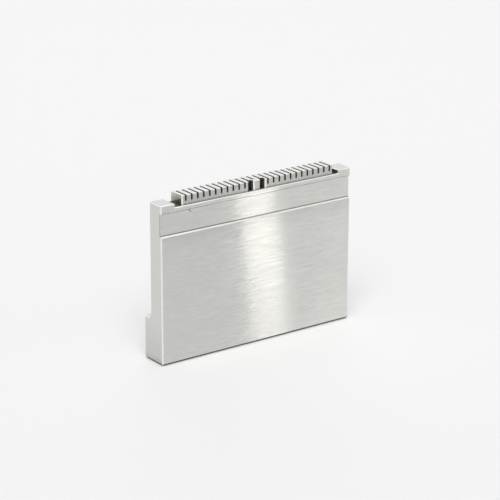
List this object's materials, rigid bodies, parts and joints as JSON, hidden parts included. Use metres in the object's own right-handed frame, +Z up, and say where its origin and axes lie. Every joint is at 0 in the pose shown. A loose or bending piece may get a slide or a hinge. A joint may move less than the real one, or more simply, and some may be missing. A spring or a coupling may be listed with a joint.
{
  "type": "machined comb block",
  "caption": "Flat machined aluminium block on a stepped foot, with a shallow front channel and a slotted comb with a locating key between two end lugs.",
  "frame": {"origin": "middle of the bottom face of the foot", "axes": "+X along the comb, -Y out of the front face with the channel, +Z up through the comb"},
  "size_m": [0.0826, 0.011, 0.0603],
  "materials": {
    "aluminium": "brushed"
  },
  "bodies": {
    "root": {"comb_block": "aluminium"}
  },
  "joints": []
}
